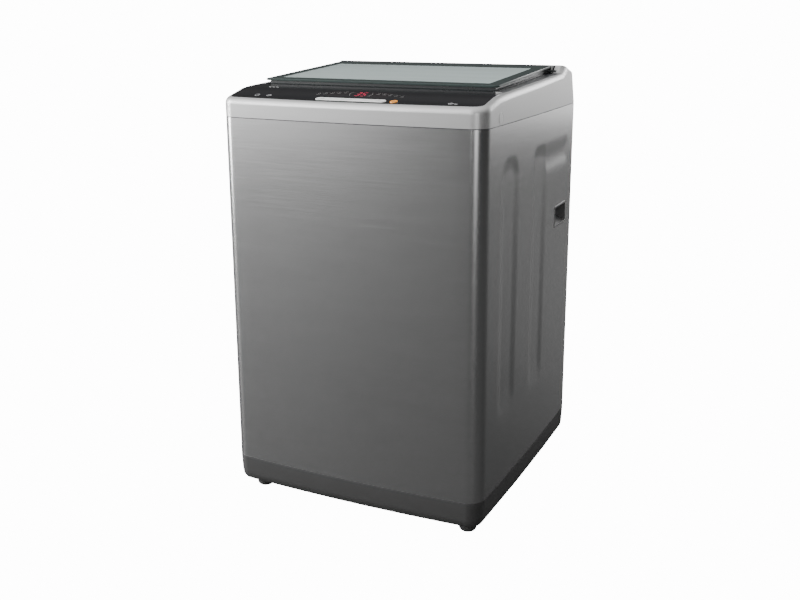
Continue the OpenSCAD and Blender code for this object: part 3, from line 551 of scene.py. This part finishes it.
def handle_rect():
    """The hole for the handle cup: low y, low z, high y, high z."""
    lo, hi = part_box("side_handle_right")
    return lo.y - HANDLE_GAP, lo.z - HANDLE_GAP, hi.y + HANDLE_GAP, hi.z + HANDLE_GAP


def build_cabinet():
    """The bowed wrapper sheet with its side pressings and handle holes."""
    side_x = HALF_W - 3 * MM
    path = cabinet_path()
    y0, z0, y1, z1 = handle_rect()
    rows = [z * MM for z in steps([(cab_lo.z * 1000, 14), (195, 8), (275, 35), (z0 * 1000, 6),
                                   (z1 * 1000, 20), (640, 3.5), (728, 12), (cab_hi.z * 1000, 1)])]
    count = len(path)
    points = []
    for z in rows:
        for i, (x, y) in enumerate(path):
            on_side = abs(y) <= HALF_D - CORNER_R * 0.9 and abs(x) > side_x
            points.append((x - math.copysign(pressed(y, z), x) if on_side else x, y, z))
    faces = []
    for j in range(len(rows) - 1):
        for i in range(count - 1):
            (xa, ya), (_, yb) = path[i], path[i + 1]
            mid_y, mid_z = (ya + yb) / 2, (rows[j] + rows[j + 1]) / 2
            if abs(xa) > side_x and y0 < mid_y < y1 and z0 < mid_z < z1:
                continue
            k = j * count + i
            faces.append((k, k + 1, k + 1 + count, k + count))
    obj = mesh_object("cabinet_sheet", points, faces, [material_for("cabinet")], 50)
    wall = obj.modifiers.new("sheet", "SOLIDIFY")
    wall.thickness = SHEET
    wall.offset = -1
    split = obj.modifiers.new("crease", "EDGE_SPLIT")
    split.split_angle = math.radians(40)
    stands_for(obj, "cabinet")


# ---------------------------------------------------------------- control panel marks
PANEL_MID = 5 * MM
WEAK_LIFT = 0.05 * MM


def surface_of(*names):
    """A function that gives the height of the given nodes' top surface at a place in plan."""
    trees = [BVHTree.FromPolygons([v.co[:] for v in nodes[n].data.vertices],
                                  [p.vertices[:] for p in nodes[n].data.polygons]) for n in names]

    def height(x, y):
        hits = [t.ray_cast(Vector((x, y, 2.0)), Vector((0, 0, -1)))[0] for t in trees]
        return max((h.z for h in hits if h is not None), default=None)
    return height


class Marks:
    """Thin printed strokes laid on a surface, gathered into one mesh."""

    def __init__(self, height, lift=0.06 * MM):
        self.height = height
        self.lift = lift
        self.points = []
        self.faces = []

    def ribbon(self, line, width):
        """A stroke of even width along a list of plan points."""
        first = len(self.points)
        last = len(line) - 1
        for i, (x, y) in enumerate(line):
            ax, ay = line[max(i - 1, 0)]
            bx, by = line[min(i + 1, last)]
            size = math.hypot(bx - ax, by - ay) or 1
            nx, ny = -(by - ay) / size * width / 2, (bx - ax) / size * width / 2
            for s in (1, -1):
                z = self.height(x + nx * s, y + ny * s)
                if z is None:
                    z = self.height(x, y) or TOP_Z
                self.points.append((x + nx * s, y + ny * s, z + self.lift))
        for i in range(last):
            k = first + 2 * i
            self.faces.append((k, k + 1, k + 3, k + 2))

    def line(self, x0, y0, x1, y1, width):
        count = max(2, int(math.hypot(x1 - x0, y1 - y0) / (1.5 * MM)) + 1)
        self.ribbon([(x0 + (x1 - x0) * i / count, y0 + (y1 - y0) * i / count)
                     for i in range(count + 1)], width)

    def arc(self, x, y, radius, start, end, width, squash=1.0):
        count = max(4, int(abs(end - start) / 12))
        angles = [math.radians(start + (end - start) * i / count) for i in range(count + 1)]
        self.ribbon([(x + radius * math.cos(a), y + radius * math.sin(a) * squash) for a in angles], width)

    def make(self, name, material, body):
        obj = mesh_object(name, self.points, self.faces, [material])
        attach(obj, body)
        return obj


def build_marks():
    """Generic signs printed on the panel: faint ones around the display, clear ones at the sides."""
    height = surface_of("control_fascia", "display_window")
    pale = glossy("panel_print", (0.55, 0.55, 0.56), 0.4, coat=0.0)
    dim = glossy("panel_print_dim", (0.16, 0.155, 0.155), 0.4, coat=0.0)
    lo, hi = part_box("display_window")
    y = (lo.y + hi.y) / 2
    reach, pitch = 34, 13
    faint = Marks(height)
    for side in (-1, 1):
        faint.arc(PANEL_MID + side * 2 * MM, y, 21 * MM, 90 + side * -128, 90 + side * -52, 0.7 * MM, 0.75)
    for k in range(5):
        for side in (-1, 1):
            x = PANEL_MID + side * (reach + k * pitch) * MM
            rise = (9 - 3.2 * k) * MM if side < 0 else (8 - 2.4 * k) * MM
            faint.arc(x, y + rise, 2.1 * MM, 0, 360, 0.5 * MM)
            faint.line(x - 3.4 * MM, y + rise - 5.5 * MM, x + 3.4 * MM, y + rise - 5.5 * MM, 0.9 * MM)
            if k < 4:
                faint.line(x + side * 4.5 * MM, y + rise, x + side * 8.5 * MM, y + rise - 1.6 * MM, 0.4 * MM)
    faint.make("panel_marks_dim", dim, "root")
    clear = Marks(height)
    row = y - 25 * MM
    power_x = -205.7 * MM
    clear.arc(power_x, row, 4.6 * MM, 120, 420, 0.9 * MM)
    clear.line(power_x, row + 1.4 * MM, power_x, row + 6.0 * MM, 0.9 * MM)
    lock_x = -179.5 * MM
    clear.arc(lock_x, row, 4.2 * MM, 0, 360, 0.8 * MM)
    clear.line(lock_x - 2.2 * MM, row - 1.6 * MM, lock_x + 2.2 * MM, row + 1.6 * MM, 0.8 * MM)
    bars_x, bars_y = -203 * MM, y + 28 * MM
    for k in range(3):
        x = bars_x + k * 8 * MM
        clear.line(x - 10 * MM, bars_y, x - 4.5 * MM, bars_y + 0.6 * MM, 3.4 * MM)
    badge_x, badge_y = 197 * MM, y - 31 * MM
    clear.arc(badge_x, badge_y, 4.2 * MM, 0, 360, 1.0 * MM, 0.9)
    clear.line(badge_x - 1.6 * MM, badge_y, badge_x + 1.6 * MM, badge_y, 1.2 * MM)
    clear.line(badge_x + 7 * MM, badge_y - 1.5 * MM, badge_x + 13 * MM, badge_y - 1.5 * MM, 2.0 * MM)
    clear.make("panel_marks", pale, "root")


SEGMENTS = {"top": ((0, 2), (1, 2)), "mid": ((0, 1), (1, 1)), "low": ((0, 0), (1, 0)),
            "ul": ((0, 1), (0, 2)), "ur": ((1, 1), (1, 2)), "ll": ((0, 0), (0, 1)), "lr": ((1, 0), (1, 1))}
FIGURES = {"3": ("top", "mid", "low", "ur", "lr"), "5": ("top", "mid", "low", "ul", "lr")}


def build_digits():
    """Lit seven-segment figures in the display window."""
    height = surface_of("display_window")
    lo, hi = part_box("display_window")
    middle = (lo.y + hi.y) / 2
    strokes = Marks(height, 0.10 * MM)
    wide, tall, lean = 7.5 * MM, 9.2 * MM, 0.12
    for k, figure in enumerate("35"):
        x0 = PANEL_MID + (k * 12.5 - 10.5) * MM
        y0 = middle - tall
        for part in FIGURES[figure]:
            (ax, ay), (bx, by) = SEGMENTS[part]
            a = Vector((x0 + ax * wide + ay * tall * lean, y0 + ay * tall))
            b = Vector((x0 + bx * wide + by * tall * lean, y0 + by * tall))
            trim = (b - a).normalized() * 0.9 * MM
            a, b = a + trim, b - trim
            strokes.line(a.x, a.y, b.x, b.y, 2.1 * MM)
    red = luminous("digit_glow", (0.40, 0.012, 0.05), 0.15)
    strokes.make("display_figures", red, "root")


def build_key_marks():
    """Small printed signs on the keys."""
    for i in range(1, 6):
        name = f"button_{i}"
        lo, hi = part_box(name)
        x, y = (lo.x + hi.x) / 2, (lo.y + hi.y) / 2
        mark = Marks(surface_of(name), WEAK_LIFT)
        if i in (1, 5):
            mark.arc(x, y, 2.3 * MM, 0, 360, 0.6 * MM)
        mark.line(x - 5 * MM, y - 0.4 * MM, x + 5 * MM, y - 0.4 * MM, 1.0 * MM)
        mark.line(x - 3 * MM, y + 1.8 * MM, x + 3 * MM, y + 1.8 * MM, 0.6 * MM)
        mark.make(f"key_{i}_sign", key_print, f"key_{i}")
    lo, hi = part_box("start_button")
    x, y = (lo.x + hi.x) / 2, (lo.y + hi.y) / 2
    sign = Marks(surface_of("start_button"), WEAK_LIFT)
    sign.line(x - 2.2 * MM, y - 2.4 * MM, x - 2.2 * MM, y + 2.4 * MM, 0.8 * MM)
    sign.line(x - 2.2 * MM, y + 2.4 * MM, x + 1.2 * MM, y, 0.8 * MM)
    sign.line(x + 1.2 * MM, y, x - 2.2 * MM, y - 2.4 * MM, 0.8 * MM)
    sign.line(x + 3.0 * MM, y - 2.2 * MM, x + 3.0 * MM, y + 2.2 * MM, 0.8 * MM)
    sign.make("start_sign", key_print, "start_key")


# ---------------------------------------------------------------- wash basket wall
def build_basket():
    """The perforated steel wall: rings of cells with a round hole each, and upright pressed ribs."""
    lo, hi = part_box("wash_basket")
    radius = hi.x
    columns, rows, corners = 84, 17, 8
    hole, rib_depth, ribs = 2.6 * MM, 3 * MM, 12
    low, high = lo.z, hi.z
    cell_w, cell_h = 2 * math.pi / columns, (high - low) / rows
    points, faces = [], []
    index = {}

    def point(angle, z):
        key = (round(angle % (2 * math.pi) * 1e5) % round(2 * math.pi * 1e5), round(z * 1e6))
        if key not in index:
            index[key] = len(points)
            rib = rib_depth * max(0.0, math.cos(angle * ribs)) ** 6
            edge = smooth_step(min(z - low, high - z) / (25 * MM))
            r = radius - rib * edge
            points.append((r * math.cos(angle), r * math.sin(angle), z))
        return index[key]

    for j in range(rows):
        for i in range(columns):
            a0, z0 = i * cell_w, low + j * cell_h
            a_mid, z_mid = a0 + cell_w / 2, z0 + cell_h / 2
            ring = [(a0, z0), (a_mid, z0), (a0 + cell_w, z0), (a0 + cell_w, z_mid),
                    (a0 + cell_w, z0 + cell_h), (a_mid, z0 + cell_h), (a0, z0 + cell_h), (a0, z_mid)]
            outer = [point(a, z) for a, z in ring]
            if 0 < j < rows - 1 and (i % 7) not in (0, 6):
                inner = []
                for k in range(corners):
                    turn = math.radians(-135 + 45 * k)
                    inner.append(point(a_mid + hole / radius * math.cos(turn),
                                       z_mid + hole * math.sin(turn)))
                for k in range(corners):
                    n = (k + 1) % corners
                    faces.append((outer[k], outer[n], inner[n], inner[k]))
            else:
                faces.append(tuple(outer))
    obj = mesh_object("basket_wall", points, faces, [material_for("wash_basket")], 40)
    wall = obj.modifiers.new("sheet", "SOLIDIFY")
    wall.thickness = 0.8 * MM
    wall.offset = -1
    stands_for(obj, "wash_basket")


# ---------------------------------------------------------------- lid glass
def build_lid_glass():
    """The glass plate: printed border, clear middle, ground edge."""
    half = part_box("lid_glass")[1].x
    mesh = nodes["lid_glass"].data
    slope_low = min(mesh.vertices, key=lambda v: v.co.z).co
    along = Vector((0, math.cos(LID_SLOPE), math.sin(LID_SLOPE)))
    up = Vector((0, -math.sin(LID_SLOPE), math.cos(LID_SLOPE)))
    origin = slope_low.copy()
    origin.x = 0
    origin -= up * (slope_low - origin).dot(up)
    length = max((v.co - origin).dot(along) for v in mesh.vertices)
    start = min((v.co - origin).dot(along) for v in mesh.vertices)
    base = min((v.co - origin).dot(up) for v in mesh.vertices)
    top = max((v.co - origin).dot(up) for v in mesh.vertices)

    def at(x, s, h):
        return origin + along * s + up * h + Vector((x, 0, 0))

    def ring(inset, height, radius, rear=None):
        r = max(radius - inset, 1 * MM)
        x1, s0, s1 = half - inset, start + inset, (length - inset if rear is None else rear)
        rear_r = r if rear is not None else 1.2 * MM
        line = []
        for cx, cs, a0, cr in ((x1 - r, s0 + r, -90, r), (x1 - rear_r, s1 - rear_r, 0, rear_r),
                               (-x1 + rear_r, s1 - rear_r, 90, rear_r), (-x1 + r, s0 + r, 180, r)):
            line += [at(cx + cr * math.cos(math.radians(a0 + 90 * k / 6)),
                        cs + cr * math.sin(math.radians(a0 + 90 * k / 6)), height) for k in range(7)]
        return line

    border = 26 * MM
    rear = length - 46 * MM
    bevel = 0.7 * MM
    corner = 8.5 * MM
    rings = [ring(bevel, base, corner), ring(0, base + bevel, corner), ring(0, top - bevel, corner),
             ring(bevel, top, corner), ring(border, top, border + 5 * MM, rear)]
    points = [p for line in rings for p in line]
    n = len(rings[0])
    faces, kinds = [], []
    for k in range(len(rings) - 1):
        for i in range(n):
            j = (i + 1) % n
            faces.append((k * n + i, k * n + j, (k + 1) * n + j, (k + 1) * n + i))
            kinds.append(1)
    inner_low = len(points)
    points += ring(border, base, border + 5 * MM, rear)
    for i in range(n):
        j = (i + 1) % n
        faces.append((inner_low + j, inner_low + i, i, j))
        kinds.append(1)
    faces.append(tuple(4 * n + i for i in range(n)))
    faces.append(tuple(inner_low + i for i in reversed(range(n))))
    kinds += [0, 0]
    obj = mesh_object("lid_plate", points, faces, [material_for("lid_glass"), lid_border], 30)
    for polygon, kind in zip(obj.data.polygons, kinds):
        polygon.material_index = kind
    stands_for(obj, "lid_glass")


# ---------------------------------------------------------------- build
add_camera()
add_studio()

SOFT_EDGES = {"base_frame": 1.2, "top_frame": 0.8, "lid_frame": 1.0, "lid_glass": 0.5,
              "control_fascia": 0.4, "start_button": 0.5}
key_print = glossy("key_print", (0.12, 0.12, 0.12), 0.4, coat=0.0)
lid_border = glossy("lid_border_print", (0.035, 0.046, 0.044), 0.12, 0.12, 0.0)
build_cabinet()
build_basket()
build_lid_glass()
build_marks()
build_digits()
build_key_marks()

HAND_BUILT = ("cabinet", "wash_basket", "lid_glass")
CAD_SHAPE = ("suspension_springs", "drain_bellows", "pressure_hose", "display_digits")
for node in sorted(nodes):
    if node in CAD_SHAPE:
        nodes[node].data.materials.clear()
        nodes[node].data.materials.append(material_for(node))
    elif node not in HAND_BUILT:
        refined(node, SOFT_EDGES.get(node, 0.4) * MM)

paint_frame_shade()
